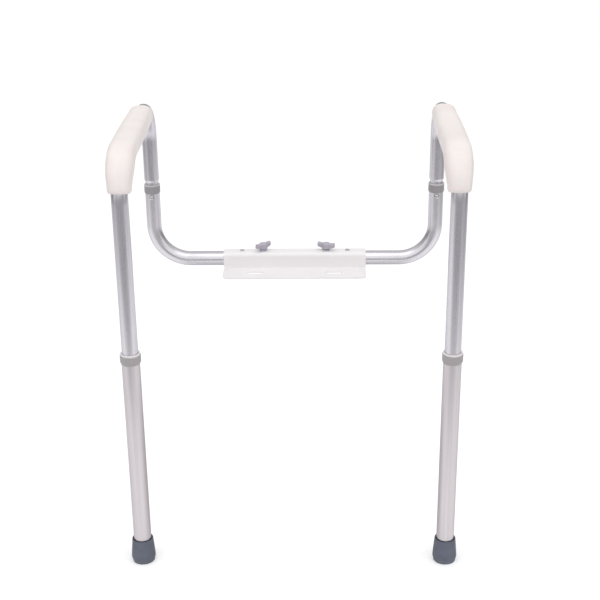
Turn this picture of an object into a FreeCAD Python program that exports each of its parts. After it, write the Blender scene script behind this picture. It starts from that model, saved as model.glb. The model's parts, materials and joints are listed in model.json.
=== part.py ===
"""Toilet safety frame: two arms on telescopic legs, joined by a bracket under the seat hinge.

Row frame: the origin is the middle of the seat-bolt line, on the underside of the mounting plate.
+X is to the right of somebody who faces the frame from the front, +Y is to the back, +Z is up.
The right half is built, and the left half is its mirror image in the plane X = 0.
"""
import FreeCAD, Part
import math
import os
import Sketcher

FULL_TURN = 360.0               # degrees
QUARTER_TURN = math.pi / 2      # radians
CUT_DEPTH = 30.0                # deep enough for any wall that a hole goes through
BROKEN_STATES = ("Invalid", "Error")

# Driving dimensions in millimetres: cell alias, value.
SIZES = (
    ("tube_diameter", 25.4),
    ("tube_wall", 1.3),
    ("leg_diameter", 28.6),
    ("leg_wall", 1.3),
    ("neck_diameter", 22.2),
    ("sliding_gap", 0.3),
    ("side_spacing", 500.0),
    ("frame_depth", 350.0),
    ("rear_axis_back", 40.0),
    ("deck_height", 387.0),
    ("arm_height", 300.0),
    ("arm_bend_radius", 63.5),
    ("rear_bend_radius", 63.5),
    ("plate_length", 254.0),
    ("plate_front", 25.0),
    ("plate_thickness", 2.6),
    ("plate_corner", 12.0),
    ("seat_bolt_spacing", 140.0),
    ("seat_slot_length", 30.0),
    ("seat_slot_radius", 5.0),
    ("channel_wall", 1.5),
    ("channel_gap", 0.2),
    ("channel_corner", 7.0),
    ("width_travel", 20.0),
    ("inner_end_rest", 24.0),
    ("thumb_screw_spacing", 113.0),
    ("guide_screw_spacing", 189.0),
    ("guide_shank_radius", 2.0),
    ("guide_head_radius", 4.2),
    ("guide_head_height", 1.4),
    ("thumb_stud_radius", 3.0),
    ("thread_gap", 0.05),
    ("clamp_hole_radius", 3.4),
    ("nut_radius", 6.5),
    ("nut_height", 3.2),
    ("clamp_tip_radius", 2.9),
    ("clamp_tip_height", 3.0),
    ("clamp_neck_radius", 1.4),
    ("clamp_neck_height", 2.6),
    ("knob_hub_radius", 8.0),
    ("knob_lift", 0.8),
    ("knob_height", 10.5),
    ("wing_half_span", 16.0),
    ("wing_foot_half_span", 9.5),
    ("wing_thickness", 8.5),
    ("wing_angle_left", 42.0),
    ("wing_angle_right", -18.0),
    ("leg_top_drop", 9.5),
    ("collar_lip", 2.0),
    ("front_collar_radius", 16.4),
    ("front_collar_height", 17.3),
    ("front_collar_chamfer", 2.2),
    ("rear_collar_radius", 13.9),
    ("rear_collar_height", 16.0),
    ("rear_tube_top", 154.0),
    ("neck_bottom", 100.0),
    ("neck_top", 160.0),
    ("swage_top", 164.5),
    ("height_pitch", 25.4),
    ("height_holes", 7.0),
    ("rest_hole", 3.0),
    ("first_hole_drop", 34.0),
    ("inner_tube_tail", 40.0),
    ("button_hole_radius", 4.25),
    ("button_radius", 3.95),
    ("button_length", 6.0),
    ("button_edge", 1.6),
    ("rear_button_height", 133.5),
    ("clip_thickness", 0.8),
    ("front_clip_width", 8.0),
    ("rear_clip_width", 6.6),
    ("front_clip_face", 10.6),
    ("rear_clip_face", 9.0),
    ("clip_bend_radius", 4.0),
    ("clip_length", 30.0),
    ("clip_above_button", 6.0),
    ("foot_height", 42.0),
    ("foot_top_radius", 16.9),
    ("foot_base_radius", 19.8),
    ("foot_tread_radius", 18.0),
    ("foot_floor_thickness", 10.0),
    ("foot_mouth_radius", 15.7),
    ("foot_mouth_depth", 5.0),
    ("foot_groove_depth", 1.4),
    ("foot_groove_width", 2.0),
    ("foot_washer_radius", 13.6),
    ("foot_washer_hole", 4.0),
    ("foot_washer_thickness", 1.5),
    ("pad_width", 43.0),
    ("pad_above", 16.5),
    ("pad_below", 16.0),
    ("pad_corner", 10.5),
    ("pad_lead", 2.0),
    ("pad_end_slope", 0.225),
    ("pad_end_width", 34.0),
    ("pad_taper_length", 46.0),
    ("pad_rear_gap", 11.5),
    ("pad_rear_width", 37.5),
    ("pad_rear_taper", 120.0),
    ("bore_gap", 0.05),
    ("pad_screw_radius", 2.1),
    ("pad_screw_head_radius", 4.0),
    ("pad_screw_head_height", 2.0),
    ("pad_screw_recess", 2.0),
    ("pad_screw_end_distance", 34.0),
)
VALUE = dict(SIZES)

doc = FreeCAD.newDocument("toilet_safety_frame")
sheet = doc.addObject("Spreadsheet::Sheet", "Sizes")
for row, (alias, value) in enumerate(SIZES, start=1):
    sheet.set("A%d" % row, alias)
    sheet.set("B%d" % row, str(value))
    sheet.setAlias("B%d" % row, alias)

# Sizes that follow from the driving ones: cell alias, formula.
DERIVED = (
    ("tube_radius", "=tube_diameter / 2"),
    ("tube_bore", "=tube_diameter / 2 - tube_wall"),
    ("leg_radius", "=leg_diameter / 2"),
    ("leg_bore", "=leg_diameter / 2 - leg_wall"),
    ("neck_radius", "=neck_diameter / 2"),
    ("neck_bore", "=neck_diameter / 2 - tube_wall"),
    ("side_offset", "=side_spacing / 2"),
    ("front_axis", "=rear_axis_back - frame_depth"),
    ("tube_axis_height", "=plate_thickness + channel_gap + tube_diameter / 2"),
    ("channel_half_width", "=tube_diameter / 2 + channel_gap + channel_wall"),
    ("channel_top", "=tube_axis_height + tube_diameter / 2 + channel_gap + channel_wall"),
    ("leg_floor", "=foot_floor_thickness + foot_washer_thickness - deck_height"),
    ("leg_length", "=-leg_top_drop - leg_floor"),
    ("first_hole", "=-leg_top_drop - first_hole_drop"),
    ("front_button_height", "=first_hole - rest_hole * height_pitch"),
    ("arm_bottom", "=front_button_height - inner_tube_tail"),
    ("arm_rise", "=arm_height - arm_bottom"),
    ("rear_run", "=side_offset - inner_end_rest"),
    ("pad_bottom", "=arm_height - arm_bend_radius - pad_lead"),
    ("pad_rise", "=arm_height - pad_bottom"),
    ("pad_run", "=frame_depth - arm_bend_radius - pad_rear_gap"),
    ("pad_tip", "=pad_lead + (arm_bend_radius - pad_below) * pad_end_slope"),
    ("pad_bore", "=tube_radius + bore_gap"),
    ("nut_top", "=channel_top + nut_height"),
    ("clamp_tip_bottom", "=tube_axis_height + tube_radius + sliding_gap"),
    ("clamp_tip_top", "=clamp_tip_bottom + clamp_tip_height"),
    ("knob_bottom", "=nut_top + knob_lift"),
    ("stud_length", "=knob_bottom + knob_height - 2 - clamp_tip_top - thread_gap"),
)
for row, (alias, formula) in enumerate(DERIVED, start=len(SIZES) + 2):
    sheet.set("A%d" % row, alias)
    sheet.set("B%d" % row, formula)
    sheet.setAlias("B%d" % row, alias)
doc.recompute()

nodes = {}


def size(expression):
    """Turn a formula over cell aliases into one that any object of the document can use."""
    words = []
    word = ""
    for letter in expression + " ":
        if letter.isalnum() or letter == "_":
            word += letter
            continue
        known = word in VALUE or word in dict(DERIVED)
        words.append("Sizes." + word if known else word)
        words.append(letter)
        word = ""
    return "".join(words).strip()


def number(expression):
    """The value in millimetres of a formula over cell aliases."""
    names = {alias: float(sheet.get(alias)) for alias, _ in SIZES + DERIVED}
    for alias in sorted(names, key=len, reverse=True):
        expression = expression.replace(alias, "(%.9f)" % names[alias])
    return FreeCAD.Units.Quantity(expression).Value


def bind(item, **formulas):
    """Bind properties of an object to the sheet; two underscores stand for a dot in a property's path."""
    for path, formula in formulas.items():
        item.setExpression(path.replace("__", "."), size(formula))


def place(item, x="0", y="0", z="0"):
    """Put an object's origin at a point given by formulas."""
    bind(item, Placement__Base__x=x, Placement__Base__y=y, Placement__Base__z=z)


def new_body(name):
    """An empty PartDesign body whose label is the node's name."""
    body = doc.addObject("PartDesign::Body", name)
    body.Label = name
    return body


def plane(body, role):
    """One of the body's own origin planes."""
    return next(item for item in body.Origin.OriginFeatures if item.Role == role)


def new_sketch(body, name, role):
    """An empty sketch on one of the body's origin planes."""
    sketch = body.newObject("Sketcher::SketchObject", name)
    sketch.AttachmentSupport = [(plane(body, role), "")]
    sketch.MapMode = "FlatFace"
    return sketch


def pin_point(sketch, geometry, corner, x, y):
    """Hold one point of a sketch at coordinates given by formulas."""
    for kind, axis, formula in (("DistanceX", -2, x), ("DistanceY", -1, y)):
        value = number(formula)
        if abs(value) < 1e-9:
            sketch.addConstraint(Sketcher.Constraint("PointOnObject", geometry, corner, axis))
            continue
        held = sketch.addConstraint(Sketcher.Constraint(kind, -1, 1, geometry, corner, value))
        sketch.setExpression("Constraints[%d]" % held, size(formula))


def add_polygon(sketch, corners):
    """A closed outline through corners given as pairs of formulas."""
    points = [FreeCAD.Vector(number(x), number(y), 0) for x, y in corners]
    count = len(points)
    first = sketch.GeometryCount
    for index in range(count):
        line = Part.LineSegment(points[index], points[(index + 1) % count])
        sketch.addGeometry(line, False)
    for index in range(count):
        here = first + index
        after = first + (index + 1) % count
        sketch.addConstraint(Sketcher.Constraint("Coincident", here, 2, after, 1))
        pin_point(sketch, here, 1, *corners[index])


def add_circle(sketch, x, y, radius):
    """A circle whose centre and radius are formulas."""
    centre = FreeCAD.Vector(number(x), number(y), 0)
    up = FreeCAD.Vector(0, 0, 1)
    circle = sketch.addGeometry(Part.Circle(centre, up, number(radius)), False)
    held = sketch.addConstraint(Sketcher.Constraint("Radius", circle, number(radius)))
    sketch.setExpression("Constraints[%d]" % held, size(radius))
    pin_point(sketch, circle, 3, x, y)


def add_slot(sketch, x, y, reach, radius):
    """A round-ended slot along the sketch's X; reach is from its middle to an end's centre."""
    middle_x, middle_y = number(x), number(y)
    half, round_end = number(reach), number(radius)
    up = FreeCAD.Vector(0, 0, 1)
    right = Part.Circle(FreeCAD.Vector(middle_x + half, middle_y, 0), up, round_end)
    left = Part.Circle(FreeCAD.Vector(middle_x - half, middle_y, 0), up, round_end)
    right_arc = sketch.addGeometry(Part.ArcOfCircle(right, -QUARTER_TURN, QUARTER_TURN), False)
    top_right = FreeCAD.Vector(middle_x + half, middle_y + round_end, 0)
    top_left = FreeCAD.Vector(middle_x - half, middle_y + round_end, 0)
    top = sketch.addGeometry(Part.LineSegment(top_right, top_left), False)
    left_arc = sketch.addGeometry(Part.ArcOfCircle(left, QUARTER_TURN, 3 * QUARTER_TURN), False)
    low_left = FreeCAD.Vector(middle_x - half, middle_y - round_end, 0)
    low_right = FreeCAD.Vector(middle_x + half, middle_y - round_end, 0)
    low = sketch.addGeometry(Part.LineSegment(low_left, low_right), False)
    for before, after in ((right_arc, top), (top, left_arc), (left_arc, low), (low, right_arc)):
        sketch.addConstraint(Sketcher.Constraint("Tangent", before, 2, after, 1))
    held = sketch.addConstraint(Sketcher.Constraint("Radius", right_arc, round_end))
    sketch.setExpression("Constraints[%d]" % held, size(radius))
    pin_point(sketch, right_arc, 3, "%s + %s" % (x, reach), y)
    pin_point(sketch, left_arc, 3, "%s - (%s)" % (x, reach), y)


def add_route(sketch, corners, radius):
    """An open route of level and upright runs through corners (formulas), joined by arcs of one radius."""
    points = [FreeCAD.Vector(number(x), number(y), 0) for x, y in corners]
    bend = number(radius)
    starts, ends, arcs = [points[0]], [], []
    for index in range(1, len(points) - 1):
        corner = points[index]
        back = (points[index - 1] - corner).normalize()
        onward = (points[index + 1] - corner).normalize()
        enter, leave = corner + back * bend, corner + onward * bend
        centre = corner + (back + onward) * bend
        middle = centre - (back + onward).normalize() * bend
        arcs.append(Part.Arc(enter, middle, leave))
        ends.append(enter)
        starts.append(leave)
    ends.append(points[-1])
    runs, turns = [], []
    for index, (start, end) in enumerate(zip(starts, ends)):
        runs.append(sketch.addGeometry(Part.LineSegment(start, end), False))
        if index < len(arcs):
            turns.append(sketch.addGeometry(arcs[index], False))
    for run, start, end in zip(runs, starts, ends):
        level = abs(start.y - end.y) < 1e-6
        sketch.addConstraint(Sketcher.Constraint("Horizontal" if level else "Vertical", run))
    for index, turn in enumerate(turns):
        enters_at_start = sketch.getPoint(turn, 1).distanceToPoint(ends[index]) < 1e-6
        near, far = (1, 2) if enters_at_start else (2, 1)
        sketch.addConstraint(Sketcher.Constraint("Tangent", runs[index], 2, turn, near))
        sketch.addConstraint(Sketcher.Constraint("Tangent", turn, far, runs[index + 1], 1))
        held = sketch.addConstraint(Sketcher.Constraint("Radius", turn, bend))
        sketch.setExpression("Constraints[%d]" % held, size(radius))
    pin_point(sketch, runs[0], 1, *corners[0])
    pin_point(sketch, runs[-1], 2, *corners[-1])
    for run, corner in list(zip(runs, corners))[1:-1]:
        held = sketch.addConstraint(
            Sketcher.Constraint("DistanceY", -1, 1, run, 1, number(corner[1]))
        )
        sketch.setExpression("Constraints[%d]" % held, size(corner[1]))


def pipe(body, name, route, profile):
    """A solid that follows a route sketch with a profile sketch."""
    swept = body.newObject("PartDesign::AdditivePipe", name)
    swept.Profile = profile
    swept.Spine = route
    doc.recompute()
    return swept


def turn_round(body, name, sketch, kind="PartDesign::Revolution"):
    """A full turn of a sketch about its own upright axis."""
    revolved = body.newObject(kind, name)
    revolved.Profile = sketch
    revolved.ReferenceAxis = (sketch, ["V_Axis"])
    revolved.Angle = FULL_TURN
    doc.recompute()
    return revolved


def pad(body, name, sketch, length, midplane=False):
    """A straight pad of a sketch."""
    padded = body.newObject("PartDesign::Pad", name)
    padded.Profile = sketch
    padded.Midplane = midplane
    bind(padded, Length=length)
    doc.recompute()
    return padded


def cut(body, name, sketch, backwards=False, midplane=False, depth=CUT_DEPTH):
    """A straight cut from the sketch's plane; it must take material away."""
    before = body.Shape.Volume
    pocket = body.newObject("PartDesign::Pocket", name)
    pocket.Profile = sketch
    pocket.Length = depth
    pocket.Midplane = midplane
    pocket.Reversed = backwards
    doc.recompute()
    if body.Shape.Volume > before - 1e-3:
        raise RuntimeError("%s cuts nothing" % name)
    return pocket


def round_edges(body, name, base, radius, wanted):
    """Fillet the edges of a feature that a test on an edge accepts."""
    edges = [
        "Edge%d" % number_of
        for number_of, edge in enumerate(base.Shape.Edges, start=1)
        if wanted(edge)
    ]
    fillet = body.newObject("PartDesign::Fillet", name)
    fillet.Base = (base, edges)
    bind(fillet, Radius=radius)
    doc.recompute()
    return fillet


def mirrored(node, right):
    """The left-hand twin of a right-hand piece."""
    twin = doc.addObject("Part::Mirroring", node)
    twin.Label = node
    twin.Source = right
    twin.Normal = (1, 0, 0)
    twin.Base = (0, 0, 0)
    return twin


def both_sides(stem, right):
    """Record a right-hand piece and its left-hand twin as two nodes."""
    nodes[stem + "_right"] = right
    nodes[stem + "_left"] = mirrored(stem + "_left", right)


def both_in_one(node, right):
    """Record a pair of identical fasteners, one each side, as one node of separate solids."""
    twin = mirrored(node + "_twin", right)
    group = doc.addObject("Part::Compound", node)
    group.Label = node
    group.Links = [right, twin]
    nodes[node] = group


def lathe_body(name, outline):
    """A body turned about its own Z axis from an outline of (radius, height) formulas."""
    body = new_body(name)
    sketch = new_sketch(body, name + "_outline", "XZ_Plane")
    add_polygon(sketch, outline)
    turn_round(body, name + "_turned", sketch)
    return body


# ---------------------------------------------------------------- bracket

def mounting_plate():
    """Flat plate on the toilet's deck, with a slot for each seat bolt."""
    body = new_body("mounting_plate")
    outline = new_sketch(body, "plate_outline", "XY_Plane")
    back = "rear_axis_back + channel_half_width"
    add_polygon(outline, (
        ("-plate_length / 2", "-plate_front"),
        ("plate_length / 2", "-plate_front"),
        ("plate_length / 2", back),
        ("-plate_length / 2", back),
    ))
    slab = pad(body, "plate_slab", outline, "plate_thickness")
    front = -number("plate_front")
    rounded = round_edges(
        body, "plate_corners", slab, "plate_corner",
        lambda edge: edge.BoundBox.ZLength > 1 and abs(edge.BoundBox.YMin - front) < 0.1,
    )
    body.Tip = rounded
    slots = new_sketch(body, "seat_slots", "XY_Plane")
    for sign in ("", "-"):
        add_slot(
            slots, sign + "seat_bolt_spacing / 2", "0",
            "(seat_slot_length / 2 - seat_slot_radius)", "seat_slot_radius",
        )
    cut(body, "seat_slot_cut", slots, midplane=True)
    nodes["mounting_plate"] = body


def bracket_channel():
    """Folded cover welded on the plate: both tubes slide in it from its open ends."""
    body = new_body("bracket_channel")
    side = new_sketch(body, "channel_side", "YZ_Plane")
    centre = "rear_axis_back"
    outer = "channel_half_width"
    inner = "(channel_half_width - channel_wall)"
    add_polygon(side, (
        ("%s - %s" % (centre, outer), "plate_thickness"),
        ("%s - %s" % (centre, inner), "plate_thickness"),
        ("%s - %s" % (centre, inner), "channel_top - channel_wall"),
        ("%s + %s" % (centre, inner), "channel_top - channel_wall"),
        ("%s + %s" % (centre, inner), "plate_thickness"),
        ("%s + %s" % (centre, outer), "plate_thickness"),
        ("%s + %s" % (centre, outer), "channel_top"),
        ("%s - %s" % (centre, outer), "channel_top"),
    ))
    shell = pad(body, "channel_shell", side, "plate_length", midplane=True)
    top = number("channel_top")
    under = number("channel_top - channel_wall")
    outside = round_edges(
        body, "channel_outer_bends", shell, "channel_corner",
        lambda edge: edge.BoundBox.XLength > 100 and abs(edge.BoundBox.ZMin - top) < 0.01,
    )
    inside = round_edges(
        body, "channel_inner_bends", outside, "channel_corner - channel_wall",
        lambda edge: edge.BoundBox.XLength > 100 and abs(edge.BoundBox.ZMax - under) < 0.01,
    )
    body.Tip = inside
    holes = new_sketch(body, "channel_holes", "XY_Plane")
    bind(holes, AttachmentOffset__Base__z="tube_axis_height")
    for sign in ("", "-"):
        add_circle(holes, sign + "thumb_screw_spacing / 2", centre, "clamp_hole_radius")
        add_circle(
            holes, sign + "guide_screw_spacing / 2", centre, "guide_shank_radius + thread_gap"
        )
    cut(body, "channel_hole_cut", holes, backwards=True)
    nodes["bracket_channel"] = body


def clamp_nuts():
    """Round nuts welded on the channel, which the thumb screws turn in."""
    body = lathe_body("clamp_nut", (
        ("thumb_stud_radius + thread_gap", "channel_top"),
        ("nut_radius", "channel_top"),
        ("nut_radius", "nut_top - 0.8"),
        ("nut_radius - 0.8", "nut_top"),
        ("thumb_stud_radius + thread_gap", "nut_top"),
    ))
    place(body, "thumb_screw_spacing / 2", "rear_axis_back")
    both_in_one("clamp_nuts", body)


def guide_screws():
    """Screws through the channel's top: each one's tip runs in the slot of a tube and stops it."""
    foot = "channel_top - channel_wall - channel_gap - tube_wall - 1"
    body = lathe_body("guide_screw", (
        ("0", foot),
        ("guide_shank_radius", foot),
        ("guide_shank_radius", "channel_top"),
        ("guide_head_radius", "channel_top"),
        ("guide_head_radius", "channel_top + guide_head_height / 2"),
        ("guide_head_radius * 0.7", "channel_top + guide_head_height"),
        ("0", "channel_top + guide_head_height"),
    ))
    socket = new_sketch(body, "guide_socket", "XY_Plane")
    bind(socket, AttachmentOffset__Base__z="channel_top + guide_head_height / 3")
    half = "guide_head_radius * 0.36"
    add_polygon(socket, (
        ("-(%s)" % half, "-(%s)" % half),
        (half, "-(%s)" % half),
        (half, half),
        ("-(%s)" % half, half),
    ))
    cut(body, "guide_socket_cut", socket, backwards=True)
    place(body, "guide_screw_spacing / 2", "rear_axis_back")
    both_in_one("guide_screws", body)


# ---------------------------------------------------------------- thumb screws

def thumb_screw(side, sign, angle):
    """Wing knob, its stud, and the tip that presses on the tube without turning."""
    x = sign + "thumb_screw_spacing / 2"
    tip = lathe_body("clamp_tip_" + side, (
        ("0", "clamp_tip_bottom"),
        ("clamp_tip_radius", "clamp_tip_bottom"),
        ("clamp_tip_radius", "clamp_tip_top"),
        ("clamp_neck_radius", "clamp_tip_top"),
        ("clamp_neck_radius", "clamp_tip_top + clamp_neck_height"),
        ("0", "clamp_tip_top + clamp_neck_height"),
    ))
    place(tip, x, "rear_axis_back")
    nodes["clamp_tip_" + side] = tip

    foot = "clamp_tip_top + thread_gap"
    socket_top = "clamp_tip_top + clamp_neck_height + 0.3"
    stud_top = "clamp_tip_top + thread_gap + stud_length"
    stud = lathe_body("thumb_stud_" + side, (
        ("clamp_neck_radius + thread_gap", foot),
        ("thumb_stud_radius", foot),
        ("thumb_stud_radius", stud_top),
        ("0", stud_top),
        ("0", socket_top),
        ("clamp_neck_radius + thread_gap", socket_top),
    ))
    place(stud, x, "rear_axis_back")
    nodes["thumb_stud_" + side] = stud

    knob = new_body("thumb_knob_" + side)
    wing = new_sketch(knob, "wing_outline_" + side, "XZ_Plane")
    add_polygon(wing, (
        ("-wing_foot_half_span", "0.8"),
        ("wing_foot_half_span", "0.8"),
        ("wing_half_span", "knob_height * 0.3"),
        ("wing_half_span - 0.6", "knob_height"),
        ("0", "knob_height * 0.88"),
        ("-wing_half_span + 0.6", "knob_height"),
        ("-wing_half_span", "knob_height * 0.3"),
    ))
    wings = pad(knob, "wings_" + side, wing, "wing_thickness", midplane=True)
    softened = round_edges(
        knob, "wing_edges_" + side, wings, "wing_thickness * 0.3",
        lambda edge: edge.BoundBox.YLength < 0.01,
    )
    knob.Tip = softened
    hub = new_sketch(knob, "hub_outline_" + side, "XZ_Plane")
    add_polygon(hub, (
        ("0", "0"),
        ("knob_hub_radius - 0.6", "0"),
        ("knob_hub_radius", "0.6"),
        ("knob_hub_radius - 0.4", "knob_height * 0.8"),
        ("knob_hub_radius - 1.8", "knob_height * 0.93"),
        ("0", "knob_height * 0.93"),
    ))
    turn_round(knob, "hub_" + side, hub)
    bore = new_sketch(knob, "stud_bore_" + side, "XZ_Plane")
    add_polygon(bore, (
        ("0", "-1"),
        ("thumb_stud_radius", "-1"),
        ("thumb_stud_radius", "knob_height - 2"),
        ("0", "knob_height - 2"),
    ))
    turn_round(knob, "stud_bore_cut_" + side, bore, "PartDesign::Groove")
    knob.Placement.Rotation = FreeCAD.Rotation(FreeCAD.Vector(0, 0, 1), VALUE[angle])
    place(knob, x, "rear_axis_back", "knob_bottom")
    nodes["thumb_knob_" + side] = knob


# ---------------------------------------------------------------- rear tube

def rear_tube():
    """L-shaped tube: the level run slides in the bracket, the upright run takes the arm's neck."""
    body = new_body("rear_tube_right")
    route = new_sketch(body, "rear_route", "XZ_Plane")
    top = "rear_tube_top - tube_axis_height"
    add_route(route, (("0", "0"), ("rear_run", "0"), ("rear_run", top)), "rear_bend_radius")
    ring = new_sketch(body, "rear_ring", "YZ_Plane")
    add_circle(ring, "0", "0", "tube_radius")
    add_circle(ring, "0", "0", "tube_bore")
    pipe(body, "rear_pipe", route, ring)
    slot = new_sketch(body, "guide_slot", "XY_Plane")
    add_slot(
        slot, "guide_screw_spacing / 2 - inner_end_rest", "0",
        "width_travel", "(guide_shank_radius + sliding_gap)",
    )
    cut(body, "guide_slot_cut", slot, backwards=True)
    hole = new_sketch(body, "rear_button_hole", "XZ_Plane")
    add_circle(hole, "rear_run", "rear_button_height - tube_axis_height", "button_hole_radius")
    cut(body, "rear_button_hole_cut", hole, backwards=True)
    place(body, "inner_end_rest", "rear_axis_back", "tube_axis_height")
    both_sides("rear_tube", body)


def rear_collar():
    """Plastic band pressed over the top of the rear tube, with a lip that centres the neck."""
    low = "rear_tube_top + collar_lip - rear_collar_height"
    high = "rear_tube_top + collar_lip"
    body = lathe_body("rear_collar_right", (
        ("tube_radius", low),
        ("rear_collar_radius - 0.8", low),
        ("rear_collar_radius", low + " + 1.4"),
        ("rear_collar_radius", high + " - 0.8"),
        ("rear_collar_radius - 0.8", high),
        ("neck_radius + sliding_gap", high),
        ("neck_radius + sliding_gap", "rear_tube_top"),
        ("tube_radius", "rear_tube_top"),
    ))
    place(body, "side_offset", "rear_axis_back")
    both_sides("rear_collar", body)


# ---------------------------------------------------------------- arm

# How far behind the front tube's axis each screw of an armrest sits.
PAD_SCREW_PLACES = (
    "arm_bend_radius + pad_screw_end_distance",
    "pad_run - pad_screw_end_distance",
)


def arm_tube():
    """Inverted U: the front leg's inner tube, the arm, and the swaged neck that enters the rear tube."""
    body = new_body("arm_tube_right")
    route = new_sketch(body, "arm_route", "YZ_Plane")
    add_route(route, (
        ("0", "0"),
        ("0", "arm_rise"),
        ("frame_depth", "arm_rise"),
        ("frame_depth", "swage_top - arm_bottom"),
    ), "arm_bend_radius")
    ring = new_sketch(body, "arm_ring", "XY_Plane")
    add_circle(ring, "0", "0", "tube_radius")
    add_circle(ring, "0", "0", "tube_bore")
    pipe(body, "arm_pipe", route, ring)
    neck = new_sketch(body, "neck_outline", "YZ_Plane")
    bind(neck, AttachmentOffset__Base__x="frame_depth")
    add_polygon(neck, (
        ("tube_bore", "swage_top - arm_bottom"),
        ("tube_radius", "swage_top - arm_bottom"),
        ("neck_radius", "neck_top - arm_bottom"),
        ("neck_radius", "neck_bottom - arm_bottom"),
        ("neck_bore", "neck_bottom - arm_bottom"),
        ("neck_bore", "neck_top - arm_bottom"),
    ))
    turn_round(body, "neck", neck)
    front_hole = new_sketch(body, "front_button_hole", "XZ_Plane")
    add_circle(front_hole, "0", "front_button_height - arm_bottom", "button_hole_radius")
    cut(body, "front_button_hole_cut", front_hole)
    rear_hole = new_sketch(body, "neck_button_hole", "XZ_Plane")
    bind(rear_hole, AttachmentOffset__Base__z="-frame_depth")
    add_circle(rear_hole, "0", "rear_button_height - arm_bottom", "button_hole_radius")
    cut(body, "neck_button_hole_cut", rear_hole, backwards=True)
    screws = new_sketch(body, "pad_screw_holes", "XY_Plane")
    bind(screws, AttachmentOffset__Base__z="arm_rise")
    for y in PAD_SCREW_PLACES:
        add_circle(screws, "0", y, "pad_screw_radius")
    cut(body, "pad_screw_hole_cut", screws)
    place(body, "side_offset", "front_axis", "arm_bottom")
    both_sides("arm_tube", body)


def armrest():
    """Moulded rest from inside the front bend to the end of the level run, tapered to both ends."""
    body = new_body("armrest_right")
    route = new_sketch(body, "pad_route", "YZ_Plane")
    corners = (("0", "0"), ("0", "pad_rise"), ("pad_run", "pad_rise"))
    add_route(route, corners, "arm_bend_radius")
    section = new_sketch(body, "pad_section", "XY_Plane")
    add_polygon(section, (
        ("-pad_width / 2", "-pad_above"),
        ("pad_width / 2", "-pad_above"),
        ("pad_width / 2", "pad_below"),
        ("-pad_width / 2", "pad_below"),
    ))
    block = pipe(body, "pad_block", route, section)
    half = number("pad_width / 2")
    softened = round_edges(
        body, "pad_long_edges", block, "pad_corner",
        lambda edge: edge.BoundBox.XLength < 0.01 and abs(abs(edge.BoundBox.XMin) - half) < 0.01
        and edge.Length > 0.5 and not _across_thickness(edge),
    )
    body.Tip = softened
    end = new_sketch(body, "pad_front_end", "YZ_Plane")
    add_polygon(end, (
        ("arm_bend_radius", "pad_lead"),
        ("-arm_bend_radius", "pad_lead + 2 * arm_bend_radius * pad_end_slope"),
        ("-arm_bend_radius", "-pad_lead"),
        ("arm_bend_radius", "-pad_lead"),
    ))
    cut(body, "pad_front_end_cut", end, midplane=True, depth=number("2 * pad_width"))
    sides = new_sketch(body, "pad_front_taper", "XZ_Plane")
    for sign in ("", "-"):
        add_polygon(sides, (
            (sign + "pad_end_width / 2", "pad_tip"),
            (sign + "pad_width / 2", "pad_tip + pad_taper_length"),
            (sign + "pad_width", "pad_tip + pad_taper_length"),
            (sign + "pad_width", "0"),
            (sign + "pad_end_width / 2", "0"),
        ))
    bend_depth = number("2 * (arm_bend_radius + pad_below)")
    cut(body, "pad_front_taper_cut", sides, midplane=True, depth=bend_depth)
    rear = new_sketch(body, "pad_rear_taper", "XY_Plane")
    for sign in ("", "-"):
        add_polygon(rear, (
            (sign + "pad_width / 2", "pad_run - pad_rear_taper"),
            (sign + "pad_rear_width / 2", "pad_run + 1"),
            (sign + "pad_width", "pad_run + 1"),
            (sign + "pad_width", "pad_run - pad_rear_taper"),
        ))
    cut(body, "pad_rear_taper_cut", rear, backwards=True, depth=number("pad_rise") + 40)
    bore = new_sketch(body, "pad_bore_ring", "XY_Plane")
    add_circle(bore, "0", "0", "pad_bore")
    hollow = body.newObject("PartDesign::SubtractivePipe", "pad_bore_cut")
    hollow.Profile = bore
    hollow.Spine = route
    doc.recompute()
    for name, radius, top in (
        ("pad_screw_ways", "pad_screw_radius", "pad_rise"),
        ("pad_screw_recesses", "pad_screw_head_radius + sliding_gap",
         "pad_rise - pad_below + pad_screw_recess"),
    ):
        sketch = new_sketch(body, name, "XY_Plane")
        bind(sketch, AttachmentOffset__Base__z=top)
        for y in PAD_SCREW_PLACES:
            add_circle(sketch, "0", y, radius)
        cut(body, name + "_cut", sketch)
    place(body, "side_offset", "front_axis", "pad_bottom")
    both_sides("armrest", body)


def _across_thickness(edge):
    """Whether an edge of the rest runs from its top to its underside, at one of its ends."""
    box = edge.BoundBox
    at_bottom = box.ZMax < 0.01
    at_rear = box.YMin > number("pad_run") - 0.01
    return at_bottom or at_rear


def armrest_screws():
    """Two screws from below hold each rest on the arm tube."""
    seat = "arm_height - pad_below + pad_screw_recess"
    screws = []
    for index, y in enumerate(PAD_SCREW_PLACES):
        body = lathe_body("pad_screw_%d" % index, (
            ("0", seat + " - pad_screw_head_height"),
            ("pad_screw_head_radius - 1", seat + " - pad_screw_head_height"),
            ("pad_screw_head_radius", seat + " - pad_screw_head_height + 1"),
            ("pad_screw_head_radius", seat),
            ("pad_screw_radius", seat),
            ("pad_screw_radius", "arm_height - tube_bore + 2"),
            ("0", "arm_height - tube_bore + 4"),
        ))
        place(body, "side_offset", "front_axis + " + y)
        screws.append(body)
    group = doc.addObject("Part::Compound", "armrest_screws_right")
    group.Label = "armrest_screws_right"
    group.Links = screws
    both_sides("armrest_screws", group)


# ---------------------------------------------------------------- front leg

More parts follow.
